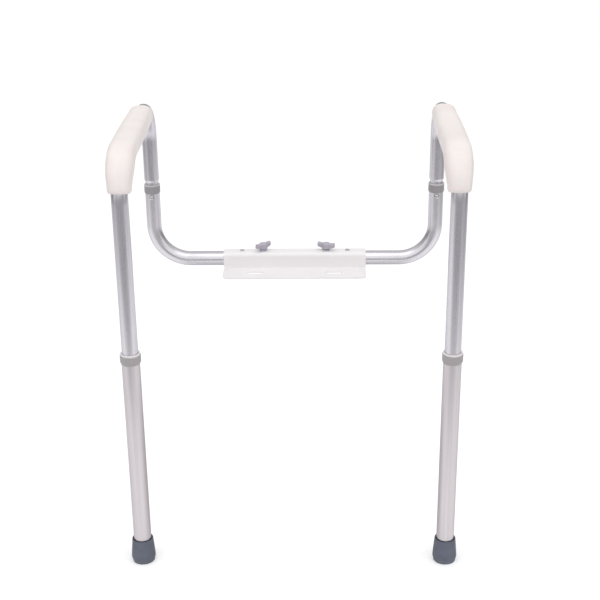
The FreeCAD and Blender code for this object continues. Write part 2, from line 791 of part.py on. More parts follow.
def front_leg():
    """Outer tube of the front leg, with a row of holes in its back for the snap button."""
    body = new_body("front_leg_right")
    ring = new_sketch(body, "leg_ring", "XY_Plane")
    add_circle(ring, "0", "0", "leg_radius")
    add_circle(ring, "0", "0", "leg_bore")
    pad(body, "leg_wall_pad", ring, "leg_length")
    hole = new_sketch(body, "height_hole", "XZ_Plane")
    add_circle(hole, "0", "first_hole - leg_floor", "button_hole_radius")
    first = cut(body, "height_hole_cut", hole)
    row = body.newObject("PartDesign::LinearPattern", "height_hole_row")
    row.Originals = [first]
    row.Direction = (hole, ["V_Axis"])
    row.Reversed = True
    bind(row, Length="height_pitch * (height_holes - 1)")
    row.Occurrences = int(VALUE["height_holes"])
    body.Tip = row
    doc.recompute()
    place(body, "side_offset", "front_axis", "leg_floor")
    both_sides("front_leg", body)


def front_collar():
    """Plastic bush on the top of the front leg: a stepped ring with a lip round the inner tube."""
    low = "collar_lip - leg_top_drop - front_collar_height"
    high = "collar_lip - leg_top_drop"
    body = lathe_body("front_collar_right", (
        ("leg_radius", low),
        ("leg_radius + 0.7", low),
        ("front_collar_radius", low + " + front_collar_chamfer * 1.5"),
        ("front_collar_radius", high + " - front_collar_chamfer * 1.5"),
        ("front_collar_radius - 0.9", high + " - front_collar_chamfer"),
        ("front_collar_radius - 0.9", high + " - 0.5"),
        ("front_collar_radius - 1.4", high),
        ("tube_radius + sliding_gap", high),
        ("tube_radius + sliding_gap", "-leg_top_drop"),
        ("leg_radius", "-leg_top_drop"),
    ))
    place(body, "side_offset", "front_axis")
    both_sides("front_collar", body)


def foot():
    """Rubber tip: flared cup round the leg, a tread step and two ring grooves underneath."""
    floor = "-deck_height"
    top = "foot_height - deck_height"
    groove = "foot_groove_width"
    outline = [
        ("0", floor),
        ("foot_tread_radius - 4 * %s" % groove, floor),
        ("foot_tread_radius - 4 * %s" % groove, floor + " + foot_groove_depth"),
        ("foot_tread_radius - 3 * %s" % groove, floor + " + foot_groove_depth"),
        ("foot_tread_radius - 3 * %s" % groove, floor),
        ("foot_tread_radius - 2 * %s" % groove, floor),
        ("foot_tread_radius - 2 * %s" % groove, floor + " + foot_groove_depth"),
        ("foot_tread_radius - %s" % groove, floor + " + foot_groove_depth"),
        ("foot_tread_radius - %s" % groove, floor),
        ("foot_tread_radius", floor),
        ("foot_base_radius - 1.4", floor + " + 3.6"),
        ("foot_base_radius - 1.4", floor + " + 4.6"),
        ("foot_base_radius - 0.5", floor + " + 5.6"),
        ("foot_base_radius", floor + " + 8.5"),
        ("foot_base_radius - 0.4", floor + " + 15"),
        ("foot_top_radius + 0.3", top + " - 1.2"),
        ("foot_top_radius - 0.5", top),
        ("foot_mouth_radius", top),
        ("leg_radius", top + " - foot_mouth_depth"),
        ("leg_radius", floor + " + foot_floor_thickness"),
        ("0", floor + " + foot_floor_thickness"),
    ]
    body = lathe_body("foot_right", outline)
    place(body, "side_offset", "front_axis")
    both_sides("foot", body)


def foot_washer():
    """Steel washer in the tip's cup, which keeps the leg's edge from cutting through the rubber."""
    low = "foot_floor_thickness - deck_height"
    body = lathe_body("foot_washer_right", (
        ("foot_washer_hole", low),
        ("foot_washer_radius", low),
        ("foot_washer_radius", low + " + foot_washer_thickness"),
        ("foot_washer_hole", low + " + foot_washer_thickness"),
    ))
    place(body, "side_offset", "front_axis")
    both_sides("foot_washer", body)


# ---------------------------------------------------------------- snap buttons

def snap_button(stem, face, height, y, towards_front):
    """Domed button that stands on a clip's outer leaf and locks two tubes together."""
    end = "%s + button_length" % face
    body = lathe_body(stem + "_right", (
        ("0", face),
        ("button_radius", face),
        ("button_radius", end + " - button_edge"),
        ("button_radius * 0.82", end + " - button_edge * 0.4"),
        ("button_radius * 0.45", end + " - button_edge * 0.08"),
        ("0", end),
    ))
    tilt = 90 if towards_front else -90
    body.Placement.Rotation = FreeCAD.Rotation(FreeCAD.Vector(1, 0, 0), tilt)
    place(body, "side_offset", y, height)
    both_sides(stem, body)


def spring_clip(stem, face, width, height, y, towards_front):
    """U-shaped leaf spring inside the tube, with the button on its outer leaf."""
    body = new_body(stem + "_right")
    route = new_sketch(body, stem + "_route", "YZ_Plane")
    leaf = "(%s - clip_thickness / 2)" % face
    add_route(route, (
        (leaf, "clip_above_button"),
        (leaf, "clip_above_button - clip_length"),
        ("-" + leaf, "clip_above_button - clip_length"),
        ("-" + leaf, "clip_above_button"),
    ), "clip_bend_radius")
    strip = new_sketch(body, stem + "_strip", "XY_Plane")
    bind(strip, AttachmentOffset__Base__z="clip_above_button")
    inner = "(%s - clip_thickness)" % face
    add_polygon(strip, (
        ("-%s / 2" % width, inner),
        ("%s / 2" % width, inner),
        ("%s / 2" % width, face),
        ("-%s / 2" % width, face),
    ))
    pipe(body, stem + "_leaf", route, strip)
    turn = 180 if towards_front else 0
    body.Placement.Rotation = FreeCAD.Rotation(FreeCAD.Vector(0, 0, 1), turn)
    place(body, "side_offset", y, height)
    both_sides(stem, body)


mounting_plate()
bracket_channel()
clamp_nuts()
guide_screws()
thumb_screw("right", "", "wing_angle_right")
thumb_screw("left", "-", "wing_angle_left")
rear_tube()
rear_collar()
arm_tube()
armrest()
armrest_screws()
front_leg()
front_collar()
foot()
foot_washer()
snap_button("front_button", "front_clip_face", "front_button_height", "front_axis", False)
snap_button("rear_button", "rear_clip_face", "rear_button_height", "rear_axis_back", True)
spring_clip(
    "front_clip", "front_clip_face", "front_clip_width", "front_button_height", "front_axis", False
)
spring_clip(
    "rear_clip", "rear_clip_face", "rear_clip_width", "rear_button_height", "rear_axis_back", True
)
doc.recompute()

for item in doc.Objects:
    if any(state in BROKEN_STATES for state in item.State):
        raise RuntimeError("%s did not recompute: %s" % (item.Name, item.State))
os.makedirs("parts", exist_ok=True)
for node, item in nodes.items():
    shape = item.Shape
    if shape.isNull() or not shape.isValid() or not shape.Solids:
        raise RuntimeError("%s has no valid solid" % node)
    shape.exportStep("parts/%s.step" % node)
    box = shape.BoundBox
    print("%-22s solids %d volume %9.0f  x %7.1f %7.1f  y %7.1f %7.1f  z %7.1f %7.1f" % (
        node, len(shape.Solids), shape.Volume,
        box.XMin, box.XMax, box.YMin, box.YMax, box.ZMin, box.ZMax,
    ))
print("%d nodes" % len(nodes))
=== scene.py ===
"""Looks of the toilet safety frame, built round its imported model.

The camera, the materials, the moulded armrests, the spring clips, the floor, the world and the lights.
"""
import json
import math
import bpy
import bmesh
from mathutils import Matrix, Vector


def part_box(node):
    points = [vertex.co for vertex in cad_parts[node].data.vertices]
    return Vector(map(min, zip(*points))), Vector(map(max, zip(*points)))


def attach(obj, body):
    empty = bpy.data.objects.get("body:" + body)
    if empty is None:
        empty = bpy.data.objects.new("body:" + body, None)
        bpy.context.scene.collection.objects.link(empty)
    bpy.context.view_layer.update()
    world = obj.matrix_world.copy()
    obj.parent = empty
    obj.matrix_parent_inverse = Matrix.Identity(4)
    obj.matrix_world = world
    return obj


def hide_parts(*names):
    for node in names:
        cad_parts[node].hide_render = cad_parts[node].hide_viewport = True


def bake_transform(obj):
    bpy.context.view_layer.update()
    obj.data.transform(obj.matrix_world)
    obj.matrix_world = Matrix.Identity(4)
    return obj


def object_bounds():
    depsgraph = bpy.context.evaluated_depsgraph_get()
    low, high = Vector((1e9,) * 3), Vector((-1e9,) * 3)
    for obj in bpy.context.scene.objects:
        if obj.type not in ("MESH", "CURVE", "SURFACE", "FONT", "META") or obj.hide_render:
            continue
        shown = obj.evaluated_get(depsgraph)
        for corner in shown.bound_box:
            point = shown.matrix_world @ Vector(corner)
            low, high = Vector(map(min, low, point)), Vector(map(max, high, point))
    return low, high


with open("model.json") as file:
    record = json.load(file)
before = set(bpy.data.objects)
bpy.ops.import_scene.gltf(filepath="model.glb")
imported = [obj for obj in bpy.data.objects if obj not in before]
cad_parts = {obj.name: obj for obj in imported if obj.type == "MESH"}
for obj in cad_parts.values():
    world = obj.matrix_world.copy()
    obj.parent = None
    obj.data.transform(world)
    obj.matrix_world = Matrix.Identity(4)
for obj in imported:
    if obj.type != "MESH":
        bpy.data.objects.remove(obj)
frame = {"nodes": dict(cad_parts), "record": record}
cad_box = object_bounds()
NODES = frame["nodes"]
SIDES = {"left": -1, "right": 1}
MM = 0.001
CAD_FLOOR = cad_box[0].z

# Radii of the model that no box gives: the tubes' bends, and the heads of the armrests' screws.
BEND_R = 63.5 * MM
SCREW_HEAD_R = 4.0 * MM

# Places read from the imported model, right-hand side.
arm_low, arm_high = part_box("arm_tube_right")
rear_low, rear_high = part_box("rear_tube_right")
rest_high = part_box("armrest_right")[1]
screw_low, screw_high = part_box("armrest_screws_right")
TUBE_R = (rear_high.y - rear_low.y) / 2
ARM_X = (arm_low.x + arm_high.x) / 2
ARM_Z = arm_high.z - TUBE_R
FRONT_Y = arm_low.y + TUBE_R
REAR_Y = arm_high.y - TUBE_R
RUN_Z = rear_low.z + TUBE_R
REST_END_Y = rest_high.y
SCREW_YS = (screw_low.y + SCREW_HEAD_R, screw_high.y - SCREW_HEAD_R)


def add_object(name, data):
    """A new object in the scene."""
    thing = bpy.data.objects.new(name, data)
    bpy.context.scene.collection.objects.link(thing)
    return thing


def add_mesh(name, mesh, material):
    """A new object from a bmesh, with one material."""
    data = bpy.data.meshes.new(name)
    mesh.to_mesh(data)
    mesh.free()
    data.materials.append(material)
    return add_object(name, data)


def smooth_by_angle(thing, degrees):
    """Smooth shading, with edges sharper than an angle left crisp."""
    thing.data.polygons.foreach_set("use_smooth", [True] * len(thing.data.polygons))
    thing.data.set_sharp_from_angle(angle=math.radians(degrees))


# ---------------------------------------------------------------- camera

# Fitted to the edges and ends of the tubes in the photo.
PITCH, ROLL, YAW = (math.radians(angle) for angle in (22.817, -0.565, 0.960))
CAMERA_PLACE = Vector((43.6, -2047.4, 811.2)) * MM
LENS = 74.37
SENSOR = 36.0
FAR_CLIP = 100.0

turn = Matrix.Rotation(YAW, 3, "Z")
forward = turn @ Vector((0, math.cos(PITCH), -math.sin(PITCH)))
level = turn @ Vector((1, 0, 0))
upward = turn @ Vector((0, math.sin(PITCH), math.cos(PITCH)))
right_way = level * math.cos(ROLL) + upward * math.sin(ROLL)
up_way = upward * math.cos(ROLL) - level * math.sin(ROLL)
camera = add_object("camera", bpy.data.cameras.new("camera"))
turned = Matrix((right_way, up_way, -forward)).transposed()
camera.matrix_world = Matrix.Translation(CAMERA_PLACE) @ turned.to_4x4()
camera.data.sensor_width = SENSOR
camera.data.lens = LENS
camera.data.clip_end = FAR_CLIP
bpy.context.scene.camera = camera


# ---------------------------------------------------------------- materials

# Most of a noise lies between these.
NOISE_LOW = 0.3
NOISE_HIGH = 0.7

# How much of a drawn tube's tint comes from its fine lines. The rest comes from its bands.
LINE_SHARE = 0.35


def linear(red, green, blue):
    """A colour given as 0 to 255 in sRGB, as the linear numbers that shaders use."""
    return tuple(
        part / 12.92 if part <= 0.04045 else ((part + 0.055) / 1.055) ** 2.4
        for part in (red / 255, green / 255, blue / 255)
    )


def times(colour, factor):
    """A colour made darker or lighter, and kept within white."""
    return tuple(min(1.0, part * factor) for part in colour)


class Nodes:
    """A tree of shader nodes, and short calls that add nodes to it."""

    def __init__(self, tree):
        self.tree = tree

    def node(self, kind, *inputs, **settings):
        """A new node with its first inputs fed in order."""
        made = self.tree.nodes.new(kind)
        for name, value in settings.items():
            setattr(made, name, value)
        for socket, value in zip(made.inputs, inputs):
            self.feed(socket, value)
        return made

    def feed(self, socket, value):
        """Give a socket a link or a fixed value."""
        if isinstance(value, bpy.types.NodeSocket):
            self.tree.links.new(value, socket)
        else:
            socket.default_value = value

    def math(self, operation, *inputs):
        return self.node("ShaderNodeMath", *inputs, operation=operation).outputs[0]

    def vector(self, x, y, z):
        return self.node("ShaderNodeCombineXYZ", x, y, z).outputs[0]

    def split(self, vector):
        return self.node("ShaderNodeSeparateXYZ", vector).outputs

    def span(self, value, low, high, to_low=0.0, to_high=1.0):
        """A value mapped from one range to another, and held inside it."""
        return self.node("ShaderNodeMapRange", value, low, high, to_low, to_high).outputs[0]

    def blend(self, share, first, second):
        """A colour from first to second."""
        made = self.node("ShaderNodeMix", share, data_type="RGBA")
        for socket, colour in zip((made.inputs[6], made.inputs[7]), (first, second)):
            self.feed(socket, (*colour, 1.0) if isinstance(colour, tuple) else colour)
        return made.outputs[2]

    def seen_by_camera(self):
        """1 for what the camera sees itself, and 0 for what other surfaces reflect."""
        return self.node("ShaderNodeLightPath").outputs["Is Camera Ray"]


class Finish(Nodes):
    """One material: a Principled shader, and short calls for the textures behind its sockets."""

    def __init__(self, name, **values):
        self.material = bpy.data.materials.new(name)
        self.material.use_nodes = True
        super().__init__(self.material.node_tree)
        self.shader = self.tree.nodes["Principled BSDF"]
        for socket, value in values.items():
            self.shader.inputs[socket.replace("_", " ")].default_value = value
        self.place = self.node("ShaderNodeTexCoord").outputs["Object"]
        self.x, self.y, self.z = self.split(self.place)

    def stretched(self, x, y, z):
        """The object's coordinates times three numbers."""
        return self.node("ShaderNodeVectorMath", self.place, (x, y, z), operation="MULTIPLY").outputs[0]

    def noise(self, scale, detail=2.0, roughness=0.5, place=None):
        """A noise over the object's coordinates, or over others."""
        made = self.node("ShaderNodeTexNoise")
        self.feed(made.inputs["Vector"], self.place if place is None else place)
        self.feed(made.inputs["Scale"], scale)
        self.feed(made.inputs["Detail"], detail)
        self.feed(made.inputs["Roughness"], roughness)
        return made.outputs[0]

    def streaks(self, lines, across, along, detail):
        """A noise drawn out along a tube, from its two coordinates across and its one along."""
        scaled = [self.math("MULTIPLY", line, by) for line, by in zip(lines, (across, across, along))]
        return self.noise(1.0, detail, place=self.vector(*scaled))

    def pebbles(self, scale, smoothness):
        """The rounded cells of a leather-like grain."""
        made = self.node("ShaderNodeTexVoronoi", feature="SMOOTH_F1")
        self.feed(made.inputs["Vector"], self.place)
        self.feed(made.inputs["Scale"], scale)
        self.feed(made.inputs["Smoothness"], smoothness)
        return made.outputs["Distance"]

    def spread(self, noise, to_low=0.0, to_high=1.0):
        """The range that most of a noise lies in, mapped to another."""
        return self.span(noise, NOISE_LOW, NOISE_HIGH, to_low, to_high)

    def colour(self, value):
        self.feed(self.shader.inputs["Base Color"], value)

    def roughness(self, value):
        self.feed(self.shader.inputs["Roughness"], value)

    def bump(self, height, distance, strength):
        """A bump of so many metres, over any bump that is there already."""
        made = self.node("ShaderNodeBump")
        self.feed(made.inputs["Strength"], strength)
        self.feed(made.inputs["Distance"], distance)
        self.feed(made.inputs["Height"], height)
        below = self.shader.inputs["Normal"]
        if below.is_linked:
            self.feed(made.inputs["Normal"], below.links[0].from_socket)
        self.feed(below, made.outputs[0])


def off_axis(finish, beside, above):
    """How far a point lies outside the axis of a bent tube.

    beside and above are the distances past the bend's centre, along the axis's two runs.
    """
    outer = [finish.math("MAXIMUM", way, 0.0) for way in (beside, above)]
    squares = [finish.math("MULTIPLY", way, way) for way in outer]
    length = finish.math("SQRT", finish.math("ADD", *squares))
    inner = finish.math("MINIMUM", finish.math("MAXIMUM", beside, above), 0.0)
    return finish.math("SUBTRACT", finish.math("ADD", length, inner), BEND_R)


def arm_lines(finish):
    """Two coordinates across the arm tube, an inverted U in the YZ plane, and one along it."""
    middle = (FRONT_Y + REAR_Y) / 2
    half = (REAR_Y - FRONT_Y) / 2
    from_middle = finish.math("ABSOLUTE", finish.math("SUBTRACT", finish.y, middle))
    beside = finish.math("SUBTRACT", from_middle, half - BEND_R)
    above = finish.math("SUBTRACT", finish.z, ARM_Z - BEND_R)
    along = finish.math("ADD", finish.y, finish.z)
    return finish.x, off_axis(finish, beside, above), along


def rear_lines(finish):
    """The same for the rear tube, an L in the XZ plane on each side."""
    out = finish.math("ABSOLUTE", finish.x)
    beside = finish.math("SUBTRACT", out, ARM_X - BEND_R)
    below = finish.math("SUBTRACT", RUN_Z + BEND_R, finish.z)
    along = finish.math("SUBTRACT", finish.z, out)
    return finish.y, off_axis(finish, beside, below), along


def upright_lines(finish):
    """The same for an upright tube."""
    return finish.x, finish.y, finish.z


def drawn_aluminium(name, light, dark, rough, lines):
    """Satin anodised tube: fine drawing lines and soft bands that run along the tube, faint smudges."""
    finish = Finish(name, Metallic=1.0, Specular_Tint=(0.62, 0.61, 0.63, 1.0))
    along_tube = lines(finish)
    fine = finish.streaks(along_tube, across=1500.0, along=9.0, detail=3.0)
    bands = finish.streaks(along_tube, across=210.0, along=2.2, detail=2.0)
    smudge = finish.noise(34.0, detail=4.0, roughness=0.6, place=finish.stretched(1.0, 1.0, 0.45))
    line_tint = finish.math("MULTIPLY", fine, LINE_SHARE)
    band_tint = finish.math("MULTIPLY", bands, 1 - LINE_SHARE)
    tint = finish.span(finish.math("ADD", line_tint, band_tint), 0.32, 0.68)
    finish.colour(finish.blend(tint, dark, light))
    smudged = finish.span(smudge, 0.3, 0.75, -0.02, 0.04)
    uneven = finish.math("ADD", smudged, finish.spread(fine, -0.03, 0.03))
    finish.roughness(finish.math("ADD", uneven, rough))
    finish.bump(fine, distance=0.12 * MM, strength=0.35)
    finish.bump(bands, distance=0.35 * MM, strength=0.25)
    return finish.material


def hard_plastic(name, darker, lighter, smooth, dull, grain):
    """Moulded plastic: a little flow marking, uneven gloss and a fine spark-eroded grain."""
    finish = Finish(name, Specular_IOR_Level=0.45)
    flow = finish.noise(55.0, detail=3.0, roughness=0.55)
    plain = finish.blend(finish.spread(flow), darker, lighter)
    finish.colour(plain)
    finish.roughness(finish.spread(finish.noise(180.0, detail=3.0), smooth, dull))
    finish.bump(finish.noise(2300.0, detail=2.0, roughness=0.6), distance=grain, strength=0.6)
    return finish, plain


def plain_plastic(name, base, mottle, smooth, dull, grain):
    """Hard plastic of one colour."""
    finish, _ = hard_plastic(name, times(base, 1 - mottle), times(base, 1 + mottle), smooth, dull, grain)
    return finish.material


def collar_plastic(name, base, rim_highlight, node):
    """Grey moulded band with a painted highlight: its upper rim is painted paler, where light catches it.
    """
    finish, plain = hard_plastic(name, times(base, 0.94), base, smooth=0.38, dull=0.5, grain=0.08 * MM)
    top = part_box(node)[1].z
    # Painted highlight: the band blends to its paler rim colour over its top millimetres, and a noise
    # wobbles where that starts.
    rim_highlight_wobble = finish.math("MULTIPLY", finish.noise(90.0, detail=4.0, roughness=0.6), 1.2 * MM)
    height = finish.math("ADD", finish.z, rim_highlight_wobble)
    rubbed_gloss_and_rim_highlight = finish.span(height, top - 2.2 * MM, top - 0.6 * MM)
    finish.colour(finish.blend(rubbed_gloss_and_rim_highlight, plain, rim_highlight))
    return finish.material


def rest_plastic():
    """Warm white moulding with a shallow leather-like grain and a soft shine where hands rub it."""
    finish = Finish(
        "rest_plastic", Specular_IOR_Level=0.5, Subsurface_Weight=0.08, Subsurface_Scale=4.0 * MM
    )
    flow = finish.noise(24.0, detail=3.0)
    finish.colour(finish.blend(finish.spread(flow), linear(233, 224, 221), linear(238, 231, 228)))
    rubbed_gloss_and_rim_highlight = finish.noise(30.0, detail=4.0, roughness=0.6)
    finish.roughness(finish.spread(rubbed_gloss_and_rim_highlight, 0.36, 0.50))
    finish.bump(finish.pebbles(900.0, smoothness=0.6), distance=0.10 * MM, strength=0.35)
    finish.bump(finish.noise(2600.0, detail=2.0, roughness=0.6), distance=0.05 * MM, strength=0.5)
    return finish.material


def powder_coat():
    """White powder coat on steel: orange peel, and a slight warm-cool drift."""
    finish = Finish("powder_coat", Specular_IOR_Level=0.5, Coat_Weight=0.25, Coat_Roughness=0.18)
    drift = finish.noise(14.0, detail=2.0)
    finish.colour(finish.blend(drift, linear(233, 230, 231), linear(239, 236, 237)))
    peel = finish.noise(650.0, detail=3.0)
    finish.roughness(finish.spread(peel, 0.30, 0.38))
    finish.bump(peel, distance=0.12 * MM, strength=0.5)
    return finish.material


def plated(name, light, dark, rough, scratch=700.0):
    """Plated steel: patches of tint, fine turned scratches."""
    finish = Finish(name, Metallic=1.0)
    patches = finish.noise(160.0, detail=3.0, roughness=0.6)
    finish.colour(finish.blend(finish.spread(patches), dark, light))
    turned = finish.noise(scratch, detail=3.0, roughness=0.6, place=finish.stretched(1.0, 1.0, 7.0))
    finish.roughness(finish.spread(turned, rough - 0.06, rough + 0.09))
    finish.bump(turned, distance=0.05 * MM, strength=0.4)
    return finish.material


def tip_rubber():
    """Moulded rubber: dull, stippled, a little scuffed and dusty towards the floor."""
    finish = Finish("tip_rubber", Specular_IOR_Level=0.35)
    foot_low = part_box("foot_right")[0]
    near_floor = finish.span(finish.z, foot_low.z, foot_low.z + 14.0 * MM, 1.0, 0.0)
    dust = finish.noise(120.0, detail=5.0, roughness=0.65)
    dusty = finish.math("MULTIPLY", near_floor, finish.span(dust, 0.35, 0.75, 0.0, 0.55))
    flow = finish.noise(60.0, detail=3.0)
    plain = finish.blend(finish.spread(flow), linear(86, 90, 102), linear(97, 101, 114))
    finish.colour(finish.blend(dusty, plain, linear(132, 132, 136)))
    finish.roughness(finish.spread(dust, 0.58, 0.74))
    finish.bump(finish.noise(1500.0, detail=3.0, roughness=0.6), distance=0.18 * MM, strength=0.6)
    finish.bump(finish.noise(240.0, detail=2.0), distance=0.3 * MM, strength=0.25)
    return finish.material


TUBE_LIGHT = linear(220, 217, 222)
TUBE_DARK = linear(202, 199, 205)
LEG_LIGHT = linear(213, 208, 210)
LEG_DARK = linear(197, 191, 194)
TUBE_ROUGH = 0.27
LEG_ROUGH = 0.34
ARM_ALUMINIUM = drawn_aluminium("arm_aluminium", TUBE_LIGHT, TUBE_DARK, TUBE_ROUGH, arm_lines)
REAR_ALUMINIUM = drawn_aluminium("rear_aluminium", TUBE_LIGHT, TUBE_DARK, TUBE_ROUGH, rear_lines)
LEG_ALUMINIUM = drawn_aluminium("leg_aluminium", LEG_LIGHT, LEG_DARK, LEG_ROUGH, upright_lines)
# Each collar's second colour is the paler colour of its painted rim highlight.
REAR_COLLAR = collar_plastic(
    "rear_collar_plastic", linear(151, 147, 150), linear(196, 193, 195), "rear_collar_right"
)
FRONT_COLLAR = collar_plastic(
    "front_collar_plastic", linear(165, 160, 162), linear(230, 226, 227), "front_collar_right"
)
KNOB_PLASTIC = plain_plastic(
    "knob_plastic", linear(174, 168, 179), mottle=0.05, smooth=0.37, dull=0.48, grain=0.06 * MM
)
NYLON = plain_plastic("nylon", linear(236, 233, 222), mottle=0.02, smooth=0.35, dull=0.46, grain=0.04 * MM)
REST_PLASTIC = rest_plastic()
POWDER_COAT = powder_coat()
ZINC = plated("zinc", linear(205, 206, 212), linear(186, 186, 192), 0.30)
SPRING_STEEL = plated("spring_steel", linear(150, 150, 156), linear(128, 128, 134), 0.34, scratch=420.0)
BUTTON_METAL = plated("button_metal", linear(216, 213, 210), linear(196, 193, 192), 0.22)
TIP_RUBBER = tip_rubber()

# Materials by the record's material slots.
FINISHES = {
    "white_steel": POWDER_COAT,
    "zinc_steel": ZINC,
    "spring_steel": SPRING_STEEL,
    "button_metal": BUTTON_METAL,
    "satin_leg": LEG_ALUMINIUM,
    "foot_rubber": TIP_RUBBER,
    "armrest_plastic": REST_PLASTIC,
    "knob_plastic": KNOB_PLASTIC,
    "nylon": NYLON,
}


def dress(thing, material):
    """Give every material slot of an object one material."""
    if not thing.material_slots:
        thing.data.materials.append(material)
    for slot in thing.material_slots:
        slot.material = material


# Nodes whose finish follows their own shape, by the start of their name.
OWN_FINISHES = {
    "arm_tube": ARM_ALUMINIUM,
    "rear_tube": REAR_ALUMINIUM,
    "rear_collar": REAR_COLLAR,
    "front_collar": FRONT_COLLAR,
}

for part in frame["record"]["subparts"]:
    stem = part["node"].rsplit("_", 1)[0]
    own = OWN_FINISHES.get(stem)
    dress(NODES[part["node"]], own or FINISHES[part["material_slot"]])


# ---------------------------------------------------------------- armrests

# The rest's section: heights above and below the tube's axis, widths, and how square its corners are.
REST_ABOVE = 16.5 * MM
REST_BELOW = 16.0 * MM
REST_WIDTH = 43.0 * MM
REST_TIP_WIDTH = 35.5 * MM
REST_TAIL_WIDTH = 39.0 * MM
REST_POWER = 2.7
SEAM_HALF = 0.45 * MM
SEAM_DEPTH = 0.3 * MM

# Along its length: the tip is the lower end, on the front bend, and the tail is the rear end.
REST_TIP_ANGLE = math.atan(0.225)  # how far the tube leans from upright there
REST_TIP_TAPER = 50.0 * MM
REST_TAIL_TAPER = 120.0 * MM
TIP_TAPER_POWER = 1.5
TIP_ROUND = 5.0 * MM
TAIL_ROUND = 9.0 * MM
TIP_INSET = (3.0 * MM, 2.0 * MM)
TAIL_INSET = (4.6 * MM, 2.2 * MM)

# The hollow for the tube, and the recesses for the screws.
BORE_R = TUBE_R + 0.3 * MM
MOUTH_R = TUBE_R + 0.8 * MM
MOUTH_DEPTH = 2.5 * MM
BORE_START = 1.5 * MOUTH_DEPTH
RECESS_R = SCREW_HEAD_R + 0.6 * MM
RECESS_DEPTH = 2.0 * MM

# How finely the rest is divided.
TOP_POINTS = 30
UNDER_POINTS = 24
MIDDLE_STATIONS = 78
ROUND_ANGLES = range(0, 91, 15)
BORE_STEP = 2
RECESS_SEGMENTS = 40
REST_CREASE = 38


def ease(value):
    """0 to 1 with a soft start and end."""
    value = min(1.0, max(0.0, value))
    return value * value * (3 - 2 * value)


def rest_line():
    """The tube's axis under the rest: its length, and what gives the point and outward way at a distance.

    The line starts inside the arm's front bend and ends on the level run.
    """
    centre = Vector((0, FRONT_Y + BEND_R, ARM_Z - BEND_R))
    arc = BEND_R * (math.pi / 2 - REST_TIP_ANGLE)

    def at(distance):
        if distance <= arc:
            angle = REST_TIP_ANGLE + distance / BEND_R
            way = Vector((0, -math.cos(angle), math.sin(angle)))
            return centre + way * BEND_R, way
        return centre + Vector((0, distance - arc, BEND_R)), Vector((0, 0, 1))

    return arc + REST_END_Y - centre.y, at


def rest_stations(total):
    """Distances at which the rest has a section: close together at the rounded ends."""
    shares = [1 - math.cos(math.radians(angle)) for angle in ROUND_ANGLES]
    inside = total - TIP_ROUND - TAIL_ROUND
    middle = [TIP_ROUND + inside * index / MIDDLE_STATIONS for index in range(1, MIDDLE_STATIONS)]
    tip = [TIP_ROUND * share for share in shares]
    tail = [total - TAIL_ROUND * share for share in reversed(shares)]
    return tip + middle + tail


def end_inset(distance, length, depths):
    """How far the sides and the top draw in, so close to a rounded end."""
    share = max(0.0, 1 - distance / length)
    drawn = 1 - math.sqrt(1 - share * share)
    return [depth * drawn for depth in depths]


def rest_section(distance, total):
    """Outline of the rest across its length, with a parting line at each side.

    Its points are (sideways, outwards) pairs.
    """
    half = REST_WIDTH / 2
    half -= (REST_WIDTH - REST_TIP_WIDTH) / 2 * (1 - ease(distance / REST_TIP_TAPER)) ** TIP_TAPER_POWER
    half -= (REST_WIDTH - REST_TAIL_WIDTH) / 2 * (1 - ease((total - distance) / REST_TAIL_TAPER))
    tip_side, tip_top = end_inset(distance, TIP_ROUND, TIP_INSET)
    tail_side, tail_top = end_inset(total - distance, TAIL_ROUND, TAIL_INSET)
    half -= tip_side + tail_side
    above, below = (height - tip_top - tail_top for height in (REST_ABOVE, REST_BELOW))
    power = 2 / REST_POWER
    points = []
    for height, count, sign in ((above, TOP_POINTS, 1), (below, UNDER_POINTS, -1)):
        points.append((sign * (half - SEAM_DEPTH), 0.0))
        points.append((sign * half, sign * SEAM_HALF))
        for index in range(1, count):
            angle = math.pi * index / count
            sideways = math.copysign(abs(math.cos(angle)) ** power, math.cos(angle))
            points.append((sign * half * sideways, sign * height * math.sin(angle) ** power))
        points.append((-sign * half, sign * SEAM_HALF))
    return points


def circle_section(outline, radius):
    """A circle whose points lie in the same directions as an outline's."""
    circle = []
    for sideways, outwards in outline:
        reach = math.hypot(sideways, outwards)
        circle.append((sideways / reach * radius, outwards / reach * radius))
    return circle


def add_ring(mesh, point, way, section):
    """One closed ring of vertices round a point of the rest's line."""
    return [
        mesh.verts.new(point + Vector((sideways, 0, 0)) + way * outwards)
        for sideways, outwards in section
    ]


def mouth_rings(mesh, at, end, inward, outline):
    """Three rings from an end face into the bore: halfway over the face, the mouth, past its chamfer."""
    mouth = circle_section(outline, MOUTH_R)
    halfway = [((a + c) / 2, (b + d) / 2) for (a, b), (c, d) in zip(outline, mouth)]
    return [
        add_ring(mesh, *at(end), halfway),
        add_ring(mesh, *at(end), mouth),
        add_ring(mesh, *at(end + inward * MOUTH_DEPTH), circle_section(outline, BORE_R)),
    ]


def sink_hole(thing, centre):
    """Cut a screw's recess upwards from a point, and keep the result as the object's own mesh."""
    mesh = bmesh.new()
    bmesh.ops.create_cone(
        mesh, cap_ends=True, segments=RECESS_SEGMENTS, radius1=RECESS_R, radius2=RECESS_R,
        depth=2 * RECESS_DEPTH, matrix=Matrix.Translation(centre),
    )
    tool = add_mesh("recess_tool", mesh, REST_PLASTIC)
    cutter = thing.modifiers.new("recess", "BOOLEAN")
    cutter.operation = "DIFFERENCE"
    cutter.solver = "EXACT"
    cutter.object = tool
    shaped = thing.evaluated_get(bpy.context.evaluated_depsgraph_get())
    cut_mesh = bpy.data.meshes.new_from_object(shaped)
    thing.modifiers.clear()
    thing.data = cut_mesh
    bpy.data.objects.remove(tool)


